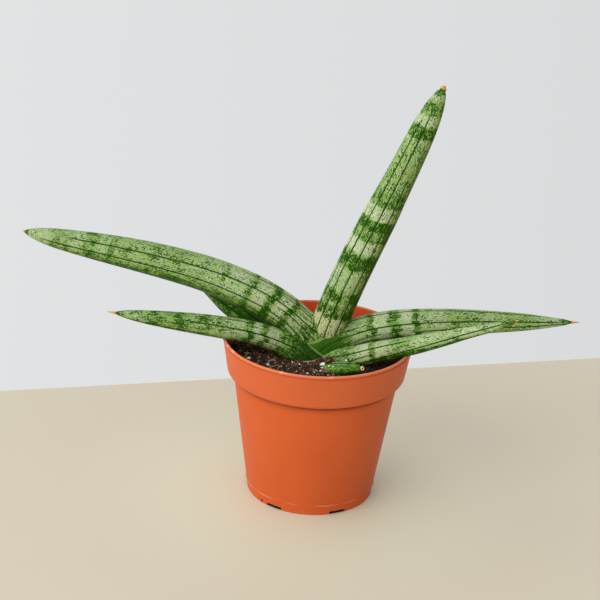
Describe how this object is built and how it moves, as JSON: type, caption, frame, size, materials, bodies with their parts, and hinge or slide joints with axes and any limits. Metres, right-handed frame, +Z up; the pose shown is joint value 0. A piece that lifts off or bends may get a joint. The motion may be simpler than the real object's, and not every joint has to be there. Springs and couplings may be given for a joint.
{
  "type": "potted snake plant",
  "caption": "Young snake plant with long round spear leaves fanned low over the rim of a tapered plastic nursery pot of dark potting mix.",
  "frame": {"origin": "centre of the pot's foot, at the height of the surface that it stands on", "axes": "+Z up, +X to the right and -Y towards the viewer of the plant's widest side; the leaves fan out mostly along X"},
  "size_m": [0.3094, 0.1046, 0.2362],
  "materials": {
    "terracotta_plastic": "smooth moulded polypropylene, satin, terracotta orange",
    "potting_mix": "loose dark bark and peat crumbs with white perlite",
    "rhizome_cream": "firm cream underground stem",
    "leaf_green": "firm waxy leaf skin, grey green with dark green cross bands and furrows",
    "young_leaf_green": "smooth waxy young leaf skin, plain fresh green"
  },
  "bodies": {
    "root": {"pot": "terracotta_plastic", "soil": "potting_mix", "rhizome": "rhizome_cream", "leaf_upright": "leaf_green", "leaf_left_upper": "leaf_green", "leaf_right_upper": "leaf_green", "leaf_left_lower": "leaf_green", "leaf_right_lower": "leaf_green", "leaf_back": "leaf_green", "leaf_short": "young_leaf_green"}
  },
  "joints": []
}
